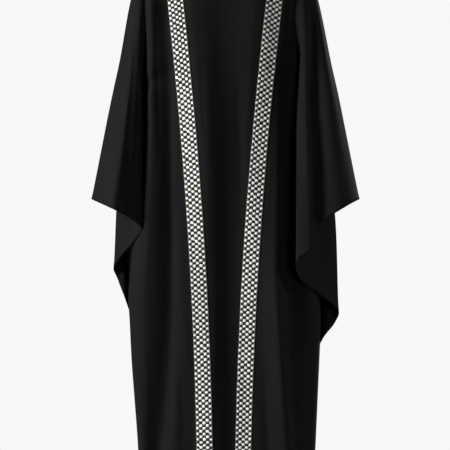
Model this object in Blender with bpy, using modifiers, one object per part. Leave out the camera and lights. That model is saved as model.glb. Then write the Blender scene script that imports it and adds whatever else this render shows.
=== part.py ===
"""Black abaya with two woven trim bands down the front, hollow as it is worn.

Metres, +Z up. The wearer's front faces -Y. The origin lies midway between
the two points where the shoulder seams meet the neck, so that every height is
written as a drop below the shoulders. Left and right are as seen from the
front, so left is -X. Each panel is an open sheet that Solidify turns into a
wall of cloth.
"""

import math
from collections import namedtuple

import bmesh
import bpy
from mathutils import Vector

# Cloth and seams
CLOTH = 0.0018
TRIM = 0.0010
GAP = 0.0003
SEAM_HALF_GAP = 0.0006
CREPE_BLACK = (0.012, 0.012, 0.013)
CREPE_ROUGHNESS = 0.75
TRIM_IVORY = (0.45, 0.43, 0.38)
TRIM_ROUGHNESS = 0.7

# Cut of the body
LENGTH = 1.42
SHOULDER_HALF = 0.200
SHOULDER_DROP = 0.052
NECK_HALF = 0.100
NECK_FORWARD = 0.092
NECK_BACKWARD = 0.042
BAND_WIDTH = 0.042
NECK_TOLERANCE = 1e-6

# Rows and columns of the sheets
BODY_ROWS = 22
ARMHOLE_ROWS = 9
ROW_EASE = 1.7
OUTER_COLUMNS = 14
BAND_COLUMNS = 3
NECK_COLUMNS = 12
BACK_COLUMNS = 36
SLEEVE_ROWS = 14
SLEEVE_COLUMNS = 54
TOP_EDGE_ROUNDS = 6

# Where the side of the body takes its full wrap below the armhole
UNDERARM = SHOULDER_DROP + (LENGTH - SHOULDER_DROP) * (ARMHOLE_ROWS / BODY_ROWS) ** ROW_EASE

# Between these drops the flat chest section turns into the round one that wraps the sides
WRAP_START = 0.20
WRAP_PAST_UNDERARM = 0.04
WRAP_END = UNDERARM + WRAP_PAST_UNDERARM

# Half width of the body at the side seam, as worn
Girth = namedtuple("Girth", "drop left right")
GIRTHS = (
    Girth(0.052, 0.201, 0.197),
    Girth(0.120, 0.200, 0.181),
    Girth(0.200, 0.198, 0.175),
    Girth(0.280, 0.199, 0.187),
    Girth(0.352, 0.204, 0.203),
    Girth(0.450, 0.207, 0.206),
    Girth(0.600, 0.216, 0.215),
    Girth(0.780, 0.234, 0.229),
    Girth(0.870, 0.2405, 0.2360),
    Girth(0.930, 0.2375, 0.2385),
    Girth(1.030, 0.2325, 0.2350),
    Girth(1.130, 0.2250, 0.2305),
    Girth(1.230, 0.2175, 0.2260),
    Girth(1.420, 0.2080, 0.2170),
)

# How far the armhole edge lies before and behind the shoulder line
Armhole = namedtuple("Armhole", "drop forward backward")
ARMHOLES = (
    Armhole(SHOULDER_DROP, 0.000, 0.000),
    Armhole(0.060, 0.020, 0.018),
    Armhole(0.080, 0.036, 0.032),
    Armhole(0.130, 0.058, 0.050),
    Armhole(0.200, 0.070, 0.058),
    Armhole(0.265, 0.062, 0.055),
    Armhole(0.318, 0.038, 0.036),
    Armhole(UNDERARM, 0.000, 0.000),
    Armhole(LENGTH, 0.000, 0.000),
)

# Depth of the front and the back: an ellipse quarter over the shoulder,
# then a straight hang that opens a little towards the hem
Hang = namedtuple("Hang", "reach chest hem")
CHEST_SECTION = 7.0
FRONT_SECTION = 3.4
BACK_SECTION = 2.6
FRONT_HANG = Hang(0.30, 0.128, 0.152)
BACK_HANG = Hang(0.24, 0.110, 0.142)
HANG_FULLY_OPEN = LENGTH * 1.3

# Long folds of the hang, as troughs with a flank on each side; a minus depth is a ridge
Fold = namedtuple(
    "Fold", "name power top upper lower hem left right deep_top deep_upper deep_lower deep_hem"
)
FOLD_PLACES = (0.20, 0.60, 1.00, LENGTH)
FOLD_FADE_START = 0.05
FOLD_FADE_END = 0.17
SEAM_CALM = 8
FRONT_FOLDS = (
    Fold("left ridge", 1.6, -0.1895, -0.194, -0.2105, -0.2185, 0.012, 0.0135, -0.022, -0.014, -0.003, -0.022),
    Fold("left pleat", 1.6, -0.1475, -0.1385, -0.1385, -0.18, 0.0385, 0.0165, 0.0035, 0.019, 0.0235, 0.034),
    Fold("left slope", 1.6, -0.187, -0.17, -0.1735, -0.1955, 0.0365, 0.06, -0.009, -0.012, 0.0125, 0.034),
    Fold("pleat's inside", 1.6, -0.1405, -0.109, -0.091, -0.125, 0.052, 0.0525, 0.04, 0.027, 0.023, 0.028),
    Fold("left middle", 1.6, -0.0945, -0.039, -0.068, -0.0775, 0.026, 0.057, -0.0215, -0.007, 0.0065, 0.0285),
    Fold("centre valley", 2.0, -0.002, 0.013, 0.02, 0.025, 0.04, 0.048, 0.0065, 0.0205, 0.0265, 0.027),
    Fold("right middle", 1.6, 0.056, 0.084, 0.0925, 0.1155, 0.06, 0.036, 0.004, 0.0105, 0.0205, 0.03),
    Fold("right ridge", 1.6, 0.124, 0.1055, 0.146, 0.178, 0.0315, 0.06, 0.019, 0.0075, -0.026, -0.0175),
    Fold("right valley", 1.6, 0.154, 0.1555, 0.16, 0.1935, 0.012, 0.056, 0.0125, 0.04, 0.04, 0.034),
)
BACK_FOLDS = (
    Fold("left valley", 1.4, -0.148, -0.156, -0.156, -0.150, 0.014, 0.030, 0.014, 0.018, 0.020, 0.021),
    Fold("inner valley", 1.4, -0.050, -0.045, -0.049, -0.058, 0.026, 0.018, 0.002, 0.007, 0.013, 0.020),
    Fold("spine valley", 1.4, 0.030, 0.039, 0.042, 0.038, 0.018, 0.028, 0.004, 0.010, 0.015, 0.017),
    Fold("right valley", 1.4, 0.146, 0.150, 0.155, 0.160, 0.032, 0.013, 0.016, 0.017, 0.020, 0.024),
)

# Middle line of each trim band, as start, slope and bend against the drop
BandLine = namedtuple("BandLine", "start slope bend")
BAND_LINES = {
    "left": BandLine(-0.1385, 0.1244, -0.0427),
    "right": BandLine(0.1385, -0.1285, 0.0431),
}

# Sleeves: the fold lines that a ring passes, at the elbow and at the hem.
# x is measured outward from the middle of the body.
Crease = namedtuple("Crease", "name share elbow_x elbow_y elbow_z hem_x hem_y hem_z")
SLEEVE_CREASES = {
    "left": (
        Crease("outer edge", 0.00, 0.269, 0.000, -0.312, 0.3325, -0.008, -0.6275),
        Crease("front crest", 0.10, 0.247, -0.094, -0.350, 0.283, -0.132, -0.650),
        Crease("front slope", 0.17, 0.226, -0.106, -0.392, 0.248, -0.121, -0.668),
        Crease("inner fold", 0.24, 0.2045, -0.094, -0.435, 0.2075, -0.102, -0.700),
        Crease("inner fold back", 0.295, 0.212, -0.070, -0.455, 0.219, -0.080, -0.724),
        Crease("outer fold", 0.41, 0.258, -0.026, -0.510, 0.277, 0.002, -0.798),
        Crease("outer fold back", 0.445, 0.253, -0.003, -0.5535, 0.268, 0.018, -0.830),
        Crease("underarm front", 0.475, 0.2380, 0.024, -0.597, 0.2460, 0.020, -0.888),
        Crease("underarm", 0.50, 0.229, 0.046, -0.612, 0.231, 0.066, -0.932),
        Crease("back outer fold", 0.59, 0.257, 0.058, -0.510, 0.266, 0.086, -0.785),
        Crease("back inner fold", 0.72, 0.207, 0.094, -0.458, 0.206, 0.126, -0.756),
        Crease("back ridge", 0.76, 0.213, 0.112, -0.440, 0.214, 0.146, -0.735),
        Crease("back crest", 0.87, 0.252, 0.092, -0.360, 0.272, 0.124, -0.645),
    ),
    "right": (
        Crease("outer edge", 0.00, 0.269, 0.000, -0.312, 0.3345, -0.010, -0.6275),
        Crease("front crest", 0.08, 0.258, -0.100, -0.346, 0.296, -0.134, -0.648),
        Crease("front valley", 0.13, 0.222, -0.104, -0.388, 0.238, -0.130, -0.688),
        Crease("valley side", 0.17, 0.212, -0.112, -0.412, 0.225, -0.137, -0.730),
        Crease("fold crest", 0.205, 0.201, -0.127, -0.432, 0.210, -0.152, -0.757),
        Crease("inner fold front", 0.235, 0.187, -0.122, -0.452, 0.184, -0.146, -0.774),
        Crease("inner fold", 0.26, 0.177, -0.112, -0.472, 0.175, -0.138, -0.793),
        Crease("inner fold back", 0.285, 0.187, -0.094, -0.500, 0.188, -0.114, -0.828),
        Crease("outer fold", 0.41, 0.264, -0.030, -0.590, 0.281, -0.032, -0.905),
        Crease("outer fold back", 0.445, 0.258, -0.010, -0.621, 0.273, -0.014, -0.938),
        Crease("underarm front", 0.475, 0.2436, 0.0075, -0.644, 0.2475, -0.010, -0.970),
        Crease("underarm", 0.50, 0.237, 0.020, -0.650, 0.236, 0.062, -0.994),
        Crease("back outer fold", 0.59, 0.260, 0.048, -0.560, 0.272, 0.076, -0.872),
        Crease("back inner fold", 0.72, 0.201, 0.094, -0.478, 0.197, 0.132, -0.810),
        Crease("back ridge", 0.76, 0.208, 0.113, -0.456, 0.206, 0.152, -0.784),
        Crease("back crest", 0.87, 0.254, 0.092, -0.362, 0.268, 0.130, -0.648),
    ),
}
SLEEVE_START_OUT_TOP = 0.22
SLEEVE_START_OUT_UNDER = 0.16
SLEEVE_START_FORWARD = 0.22
SLEEVE_START_DOWN_TOP = 0.15
SLEEVE_START_DOWN_UNDER = 0.40
ARMHOLE_GAP_TOP = 0.0007
ARMHOLE_GAP_UNDER = 0.0024


def hermite(start, start_slope, end, end_slope, share):
    """Cubic between two values with a given slope at each end."""
    s2 = share * share
    s3 = s2 * share
    return (
        start * (2 * s3 - 3 * s2 + 1)
        + start_slope * (s3 - 2 * s2 + share)
        + end * (3 * s2 - 2 * s3)
        + end_slope * (s3 - s2)
    )


def smooth(places, values, at):
    """Smooth curve through values that stand at rising places."""
    if at <= places[0]:
        return values[0]
    if at >= places[-1]:
        return values[-1]
    low = max(i for i in range(len(places) - 1) if places[i] <= at)
    span = places[low + 1] - places[low]

    def slope(i):
        before = max(i - 1, 0)
        after = min(i + 1, len(places) - 1)
        return (values[after] - values[before]) / (places[after] - places[before])

    share = (at - places[low]) / span
    return hermite(values[low], slope(low) * span, values[low + 1], slope(low + 1) * span, share)


def ease(start, end, at):
    """0 before start, 1 after end, smooth between them."""
    share = min(max((at - start) / (end - start), 0.0), 1.0)
    return share * share * (3 - 2 * share)


def side_wrap(drop):
    """0 beside the armhole, 1 where the panel wraps round to the side seam."""
    return ease(WRAP_START, WRAP_END, drop)


def half_width(side_sign, drop):
    """Distance of the side seam or armhole edge from the middle."""
    places = [row.drop for row in GIRTHS]
    widths = [row.left if side_sign < 0 else row.right for row in GIRTHS]
    return smooth(places, widths, drop)


def armhole_depth(facing, drop):
    """Distance of the panel's side edge from the shoulder line; facing is -1 at the front."""
    places = [row.drop for row in ARMHOLES]
    depths = [row.forward if facing < 0 else row.backward for row in ARMHOLES]
    return max(smooth(places, depths, drop), 0.0) + SEAM_HALF_GAP


def ridge_drop(x):
    """Drop of the shoulder line above a place on the panel."""
    beyond = (abs(x) - NECK_HALF) / (SHOULDER_HALF - NECK_HALF)
    return SHOULDER_DROP * min(max(beyond, 0.0), 1.0)


def top_drop(facing, x):
    """Drop of a panel's upper edge: the neck curve, then the shoulder seam."""
    if abs(x) >= NECK_HALF - NECK_TOLERANCE:
        return ridge_drop(x)
    hang = FRONT_HANG if facing < 0 else BACK_HANG
    deepest = NECK_FORWARD if facing < 0 else NECK_BACKWARD
    depth = deepest * math.sqrt(1 - (x / NECK_HALF) ** 2)
    return hang.reach * (1 - math.sqrt(1 - (depth / hang.chest) ** 2))


def hang_depth(facing, below):
    """Depth of the middle of a panel, at a distance below the shoulder line."""
    hang = FRONT_HANG if facing < 0 else BACK_HANG
    if below < hang.reach:
        share = 1 - below / hang.reach
        return hang.chest * math.sqrt(max(1 - share * share, 0.0))
    opened = ease(hang.reach, HANG_FULLY_OPEN, below)
    opened_at_hem = ease(hang.reach, HANG_FULLY_OPEN, LENGTH)
    return hang.chest + (hang.hem - hang.chest) * opened / opened_at_hem


def fold_depth(facing, x, drop):
    """How far the long folds draw the panel in at a place."""
    depth = 0.0
    for fold in FRONT_FOLDS if facing < 0 else BACK_FOLDS:
        middle = smooth(FOLD_PLACES, (fold.top, fold.upper, fold.lower, fold.hem), drop)
        deeps = (fold.deep_top, fold.deep_upper, fold.deep_lower, fold.deep_hem)
        deep = smooth(FOLD_PLACES, deeps, drop)
        flank = fold.left if x < middle else fold.right
        depth += deep * math.exp(-((abs(x - middle) / flank) ** fold.power))
    return depth * ease(FOLD_FADE_START, FOLD_FADE_END, drop)


def panel_point(facing, x, drop):
    """Point of the front (facing -1) or back (facing 1) sheet."""
    width = half_width(-1 if x < 0 else 1, drop)
    share = min(abs(x) / width, 1.0)
    below = max(drop - ridge_drop(x), 0.0)
    side = armhole_depth(facing, SHOULDER_DROP + below)
    power = FRONT_SECTION if facing < 0 else BACK_SECTION
    flat = 1 - share**CHEST_SECTION
    round_ = (1 - share**power) ** (1 / power)
    shape = flat + (round_ - flat) * side_wrap(drop)
    depth = max(hang_depth(facing, below), SEAM_HALF_GAP)
    depth = side + (depth - side) * shape if depth > side else depth + (side - depth) * (1 - shape)
    depth -= fold_depth(facing, x, drop) * (1 - share**SEAM_CALM)
    return Vector((x, facing * depth, -drop))


def band_middle(side, drop):
    """x of a trim band's middle line."""
    line = BAND_LINES[side]
    return line.start + line.slope * drop + line.bend * drop * drop


def outer_column(width, start, end, share, drop):
    """x of a column between two places: even beside the armhole, evenly turned below it."""
    even = start + (end - start) * share
    first = math.asin(start / width)
    last = math.asin(end / width)
    turned = width * math.sin(first + (last - first) * share)
    return even + (turned - even) * side_wrap(drop)


def front_columns(drop):
    """x of every column of the front, from left to right.

    The columns follow the edges of the two bands, and one on each side
    follows the corner of the neck.
    """
    places = []
    left_out = band_middle("left", drop) - BAND_WIDTH / 2
    left_in = band_middle("left", drop) + BAND_WIDTH / 2
    right_in = band_middle("right", drop) - BAND_WIDTH / 2
    right_out = band_middle("right", drop) + BAND_WIDTH / 2
    width = half_width(-1, drop)
    for i in range(OUTER_COLUMNS):
        places.append(outer_column(width, -width, left_out, i / OUTER_COLUMNS, drop))
    for i in range(BAND_COLUMNS):
        places.append(left_out + BAND_WIDTH * i / BAND_COLUMNS)
    places.append(left_in)
    neck_share = NECK_HALF / (band_middle("right", 0.0) - BAND_WIDTH / 2)
    neck_left = (left_in + right_in) / 2 - (right_in - left_in) / 2 * neck_share
    neck_right = (left_in + right_in) / 2 + (right_in - left_in) / 2 * neck_share
    for i in range(NECK_COLUMNS + 1):
        places.append(neck_left + (neck_right - neck_left) * i / NECK_COLUMNS)
    places.append(right_in)
    for i in range(BAND_COLUMNS):
        places.append(right_in + BAND_WIDTH * (i + 1) / BAND_COLUMNS)
    width = half_width(1, drop)
    for i in range(OUTER_COLUMNS):
        places.append(outer_column(width, right_out, width, (i + 1) / OUTER_COLUMNS, drop))
    return places


def back_columns(drop):
    """x of every column of the back, evenly turned about the body."""
    places = []
    for i in range(BACK_COLUMNS + 1):
        turn = -math.pi / 2 + math.pi * i / BACK_COLUMNS
        places.append(half_width(math.sin(turn), drop) * math.sin(turn))
    return places


def panel_rows(facing):
    """Rows of points of a body sheet, from its upper edge to the hem."""
    columns = front_columns if facing < 0 else back_columns
    # A column's x depends on its drop, so its upper end is found in rounds
    tops = [0.0] * len(columns(0.0))
    for _ in range(TOP_EDGE_ROUNDS):
        tops = [top_drop(facing, columns(drop)[i]) for i, drop in enumerate(tops)]
    rows = []
    for j in range(BODY_ROWS + 1):
        share = (j / BODY_ROWS) ** ROW_EASE
        row = []
        for i, top in enumerate(tops):
            drop = top + (LENGTH - top) * share
            row.append(panel_point(facing, columns(drop)[i], drop))
        rows.append(row)
    return rows


def sheet_mesh(name, rows, closed=False):
    """Mesh of a grid of points whose rows run across and whose columns run down."""
    mesh = bpy.data.meshes.new(name)
    work = bmesh.new()
    grid = [[work.verts.new(point) for point in row] for row in rows]
    across = len(rows[0])
    for j in range(len(rows) - 1):
        for i in range(across if closed else across - 1):
            k = (i + 1) % across
            work.faces.new((grid[j][i], grid[j + 1][i], grid[j + 1][k], grid[j][k]))
    work.to_mesh(mesh)
    work.free()
    mesh.shade_smooth()
    return mesh


def cloth_object(name, mesh, thickness, material, collection):
    """Object whose open sheet Solidify makes into a wall."""
    item = bpy.data.objects.new(name, mesh)
    collection.objects.link(item)
    mesh.materials.append(material)
    wall = item.modifiers.new("wall", "SOLIDIFY")
    wall.thickness = thickness
    wall.offset = 0.0
    return item


def sheet_normals(rows):
    """Outward normal at each point of a body sheet's grid."""
    normals = []
    for j, row in enumerate(rows):
        above = rows[max(j - 1, 0)]
        below = rows[min(j + 1, len(rows) - 1)]
        line = []
        for i in range(len(row)):
            across = row[min(i + 1, len(row) - 1)] - row[max(i - 1, 0)]
            line.append((below[i] - above[i]).cross(across).normalized())
        normals.append(line)
    return normals


def make_bands(front_rows, materials, collection):
    """Two trim bands, made from the front's points moved out of it."""
    normals = sheet_normals(front_rows)
    out = CLOTH / 2 + GAP + TRIM / 2
    starts = {
        "left": OUTER_COLUMNS,
        "right": OUTER_COLUMNS + BAND_COLUMNS + NECK_COLUMNS + 2,
    }
    for side, start in starts.items():
        rows = []
        for line, line_normals in zip(front_rows, normals):
            rows.append([line[i] + line_normals[i] * out for i in range(start, start + BAND_COLUMNS + 1)])
        mesh = sheet_mesh("band_" + side, rows)
        cloth_object("band_" + side, mesh, TRIM, materials[side], collection)


def armhole_ring(sign, front_rows, back_rows):
    """Edge of the armhole from the shoulder down the front and up the back."""
    edge = 0 if sign < 0 else -1
    front = [front_rows[j][edge] for j in range(ARMHOLE_ROWS + 1)]
    back = [back_rows[j][edge] for j in range(ARMHOLE_ROWS + 1)]
    under = (front[-1] + back[-1]) / 2
    top = (front[0] + back[0]) / 2
    corners = [top] + front[1:-1] + [under] + back[-2:0:-1] + [top]
    ring = []
    for i in range(SLEEVE_COLUMNS):
        at = i / SLEEVE_COLUMNS * (len(corners) - 1)
        low = int(at)
        point = corners[low].lerp(corners[low + 1], at - low)
        under_share = math.sin(math.pi * i / SLEEVE_COLUMNS) ** 2
        gap = ARMHOLE_GAP_TOP + (ARMHOLE_GAP_UNDER - ARMHOLE_GAP_TOP) * under_share
        ring.append(point + Vector((sign * gap, 0.0, 0.0)))
    return ring


def crease_ring(sign, creases, station):
    """Smooth closed ring through the creases at one station of a sleeve."""
    points = []
    shares = []
    for lap in (-1, 0, 1):
        for crease in creases:
            x, y, z = (getattr(crease, station + axis) for axis in ("_x", "_y", "_z"))
            points.append(Vector((sign * x, y, z)))
            shares.append(crease.share + lap)
    ring = []
    for i in range(SLEEVE_COLUMNS):
        at = i / SLEEVE_COLUMNS
        ring.append(smooth(shares, points, at))
    return ring


def sleeve_rows(side, front_rows, back_rows):
    """Rows of points round a sleeve, from the armhole to the hem."""
    sign = -1 if side == "left" else 1
    armhole = armhole_ring(sign, front_rows, back_rows)
    elbow = crease_ring(sign, SLEEVE_CREASES[side], "elbow")
    hem = crease_ring(sign, SLEEVE_CREASES[side], "hem")
    rows = []
    for j in range(SLEEVE_ROWS + 1):
        share = j / SLEEVE_ROWS
        row = []
        for i in range(SLEEVE_COLUMNS):
            turn = 2 * math.pi * i / SLEEVE_COLUMNS
            under = math.sin(turn / 2) ** 2
            start = Vector((
                sign * (SLEEVE_START_OUT_TOP * (1 - under) + SLEEVE_START_OUT_UNDER * under),
                -SLEEVE_START_FORWARD * math.sin(turn),
                -SLEEVE_START_DOWN_TOP * (1 - under) - SLEEVE_START_DOWN_UNDER * under,
            ))
            through = hem[i] - armhole[i]
            if share < 0.5:
                point = hermite(armhole[i], start / 2, elbow[i], through / 2, share * 2)
            else:
                point = hermite(elbow[i], through / 2, hem[i], hem[i] - elbow[i], share * 2 - 1)
            row.append(point)
        rows.append(row if sign > 0 else row[::-1])
    return rows


def cloth_material(name, colour, roughness):
    """Plain cloth finish."""
    material = bpy.data.materials.new(name)
    material.use_nodes = True
    shader = material.node_tree.nodes["Principled BSDF"]
    shader.inputs["Base Color"].default_value = (*colour, 1.0)
    shader.inputs["Roughness"].default_value = roughness
    shader.inputs["Metallic"].default_value = 0.0
    material.diffuse_color = (*colour, 1.0)
    return material


def main():
    for item in list(bpy.data.objects):
        bpy.data.objects.remove(item)
    collection = bpy.data.collections.new("abaya")
    bpy.context.scene.collection.children.link(collection)

    front = panel_rows(-1)
    back = panel_rows(1)
    crepe = {
        name: cloth_material("crepe_" + name, CREPE_BLACK, CREPE_ROUGHNESS)
        for name in ("front", "back", "sleeve_left", "sleeve_right")
    }
    trim = {
        side: cloth_material("trim_" + side, TRIM_IVORY, TRIM_ROUGHNESS)
        for side in ("left", "right")
    }

    cloth_object("front", sheet_mesh("front", front), CLOTH, crepe["front"], collection)
    flipped = [row[::-1] for row in back]
    cloth_object("back", sheet_mesh("back", flipped), CLOTH, crepe["back"], collection)
    for side in ("left", "right"):
        name = "sleeve_" + side
        mesh = sheet_mesh(name, sleeve_rows(side, front, back), closed=True)
        cloth_object(name, mesh, CLOTH, crepe[name], collection)
    make_bands(front, trim, collection)


main()
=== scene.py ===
"""Looks of the black abaya: fine cloth shells with seams, hems and stitches, and the two dotted trim bands.

Metres, +Z up, in the frame of the solids: the origin lies midway between the
shoulder seams at the neck, heights are drops below it, and left is -X.
"""

import math
import random
from bisect import bisect_right
from collections import namedtuple

import bpy
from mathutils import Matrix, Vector, noise


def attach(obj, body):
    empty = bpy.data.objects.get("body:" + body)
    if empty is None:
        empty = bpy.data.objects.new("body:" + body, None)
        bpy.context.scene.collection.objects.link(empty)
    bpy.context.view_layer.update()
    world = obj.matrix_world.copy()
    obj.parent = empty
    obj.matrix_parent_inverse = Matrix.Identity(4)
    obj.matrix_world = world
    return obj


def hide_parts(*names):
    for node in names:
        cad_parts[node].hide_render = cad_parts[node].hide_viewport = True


def table(row_type, *rows):
    """Rows with the named columns of a type."""
    return tuple(row_type(*row) for row in rows)


# Cloth
CREPE = 0.0012
HEM_EXTRA = 0.0009
RIBBON = 0.0008
RIBBON_GAP = 0.0001
RIBBON_EDGE_SHARE = 1.25
SEAM_HALF_GAP = -0.0002

# Cut of the body
LENGTH = 1.42
SHOULDER_HALF = 0.200
SHOULDER_DROP = 0.052
NECK_HALF = 0.100
NECK_FORWARD = 0.092
NECK_BACKWARD = 0.042
BAND_WIDTH = 0.042
NECK_TOLERANCE = 1e-6

# Rows and columns of the fine sheets
BODY_ROWS = 198
ARMHOLE_ROWS = 81
ROW_EASE = 1.7
OUTER_COLUMNS = 60
BAND_COLUMNS = 8
NECK_COLUMNS = 58
BACK_COLUMNS = 150
SLEEVE_ROWS = 84
SLEEVE_COLUMNS = 240
TOP_EDGE_ROUNDS = 6

# Where the side of the body takes its full wrap below the armhole
UNDERARM = SHOULDER_DROP + (LENGTH - SHOULDER_DROP) * (ARMHOLE_ROWS / BODY_ROWS) ** ROW_EASE
WRAP_START = 0.20
WRAP_END = UNDERARM + 0.04

# Half width of the body at the side seam, as worn
Girth = namedtuple("Girth", "drop left right")
GIRTHS = table(
    Girth,
    (0.052, 0.201, 0.197),
    (0.120, 0.200, 0.181),
    (0.200, 0.198, 0.175),
    (0.280, 0.199, 0.187),
    (0.352, 0.204, 0.203),
    (0.450, 0.207, 0.206),
    (0.600, 0.216, 0.215),
    (0.780, 0.234, 0.229),
    (0.870, 0.2405, 0.2360),
    (0.930, 0.2375, 0.2385),
    (1.030, 0.2325, 0.2350),
    (1.130, 0.2250, 0.2305),
    (1.230, 0.2175, 0.2260),
    (1.420, 0.2080, 0.2170),
)

# How far the armhole edge lies before and behind the shoulder line
Armhole = namedtuple("Armhole", "drop forward backward")
ARMHOLES = table(
    Armhole,
    (SHOULDER_DROP, 0.000, 0.000),
    (0.060, 0.020, 0.018),
    (0.080, 0.036, 0.032),
    (0.130, 0.058, 0.050),
    (0.200, 0.070, 0.058),
    (0.265, 0.062, 0.055),
    (0.318, 0.038, 0.036),
    (UNDERARM, 0.000, 0.000),
    (LENGTH, 0.000, 0.000),
)

# Depth of the front and the back
Hang = namedtuple("Hang", "reach chest hem")
CHEST_SECTION = 7.0
FRONT_SECTION = 3.4
BACK_SECTION = 2.6
FRONT_HANG = Hang(0.30, 0.128, 0.152)
BACK_HANG = Hang(0.24, 0.110, 0.142)
HANG_FULLY_OPEN = LENGTH * 1.3

# Long folds of the hang, as troughs with a flank on each side; a minus depth is a ridge
Fold = namedtuple(
    "Fold", "name power top upper lower hem left right deep_top deep_upper deep_lower deep_hem"
)
FOLD_PLACES = (0.20, 0.60, 1.00, LENGTH)
FOLD_FADE_START = 0.05
FOLD_FADE_END = 0.17
FOLD_REACH = 6.0
FOLD_ROUND = 0.003
SEAM_CALM = 8
FRONT_FOLDS = table(
    Fold,
    ("left ridge", 1.6, -0.1895, -0.194, -0.2105, -0.2185, 0.009, 0.0135, -0.022, -0.014, -0.003, -0.022),
    ("left pleat", 1.6, -0.1475, -0.1385, -0.1385, -0.18, 0.0385, 0.0165, 0.0035, 0.019, 0.0235, 0.034),
    ("left slope", 1.6, -0.187, -0.17, -0.1735, -0.1955, 0.0365, 0.06, -0.009, -0.012, 0.0125, 0.034),
    ("pleat's inside", 1.6, -0.1405, -0.109, -0.091, -0.125, 0.052, 0.0525, 0.04, 0.027, 0.023, 0.028),
    ("left middle", 1.6, -0.0945, -0.039, -0.068, -0.0775, 0.026, 0.057, -0.0215, -0.007, 0.0065, 0.0285),
    ("centre valley", 2.0, -0.002, 0.013, 0.02, 0.025, 0.04, 0.048, 0.0065, 0.0205, 0.0265, 0.027),
    ("right middle", 1.6, 0.056, 0.084, 0.0925, 0.1155, 0.06, 0.036, 0.004, 0.0105, 0.0205, 0.03),
    ("right ridge", 1.6, 0.124, 0.1055, 0.146, 0.178, 0.0315, 0.06, 0.019, 0.0075, -0.026, -0.0175),
    ("right valley", 1.6, 0.154, 0.1555, 0.16, 0.1935, 0.0135, 0.056, 0.0125, 0.04, 0.04, 0.034),
)
BACK_FOLDS = table(
    Fold,
    ("left valley", 1.4, -0.148, -0.156, -0.156, -0.150, 0.014, 0.030, 0.014, 0.018, 0.020, 0.021),
    ("inner valley", 1.4, -0.050, -0.045, -0.049, -0.058, 0.026, 0.018, 0.002, 0.007, 0.013, 0.020),
    ("spine valley", 1.4, 0.030, 0.039, 0.042, 0.038, 0.018, 0.028, 0.004, 0.010, 0.015, 0.017),
    ("right valley", 1.4, 0.146, 0.150, 0.155, 0.160, 0.032, 0.016, 0.016, 0.017, 0.020, 0.024),
)

# Sizes that the sheets are cut to before they are sewn: widest, longest and flat area
Cut = namedtuple("Cut", "width length area")

# Short soft creases: a trough along a line that fades at both ends; a minus depth is a ridge
Crease = namedtuple("Crease", "x_start x_end drop_start drop_end half_width deep")
FRONT_CREASES = table(
    Crease,
    (-0.176, -0.160, 0.16, 0.52, 0.007, 0.0022),
    (-0.110, -0.126, 0.20, 0.64, 0.009, -0.0020),
    (-0.062, -0.048, 0.18, 0.60, 0.010, 0.0020),
    (0.030, 0.046, 0.24, 0.80, 0.012, 0.0022),
    (0.070, 0.058, 0.14, 0.46, 0.009, -0.0016),
    (0.128, 0.110, 0.30, 0.86, 0.010, 0.0020),
    (-0.118, -0.100, 0.84, 1.34, 0.011, 0.0030),
    (-0.212, -0.196, 0.90, 1.40, 0.009, 0.0024),
    (-0.028, -0.036, 0.86, 1.38, 0.010, -0.0018),
    (0.098, 0.112, 0.96, 1.40, 0.012, 0.0024),
    (0.204, 0.206, 0.96, 1.38, 0.009, 0.0030),
    (0.052, 0.060, 0.92, 1.40, 0.009, 0.0014),
)
BACK_CREASES = table(
    Crease,
    (-0.160, -0.110, 0.10, 0.44, 0.010, 0.0026),
    (0.156, 0.104, 0.10, 0.50, 0.011, 0.0024),
    (-0.020, -0.010, 0.20, 0.74, 0.012, 0.0020),
    (0.086, 0.098, 0.34, 1.04, 0.010, 0.0026),
    (-0.098, -0.112, 0.46, 1.22, 0.012, 0.0030),
    (-0.006, 0.002, 0.88, 1.40, 0.009, -0.0024),
    (0.108, 0.116, 0.92, 1.40, 0.011, 0.0028),
    (-0.192, -0.186, 0.72, 1.36, 0.010, 0.0024),
    (0.196, 0.190, 0.78, 1.38, 0.010, 0.0022),
)

# Middle line of each trim band, as start, slope and bend against the drop
BandLine = namedtuple("BandLine", "start slope bend")
BAND_LINES = {
    "left": BandLine(-0.1385, 0.1244, -0.0427),
    "right": BandLine(0.1385, -0.1285, 0.0431),
}

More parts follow.
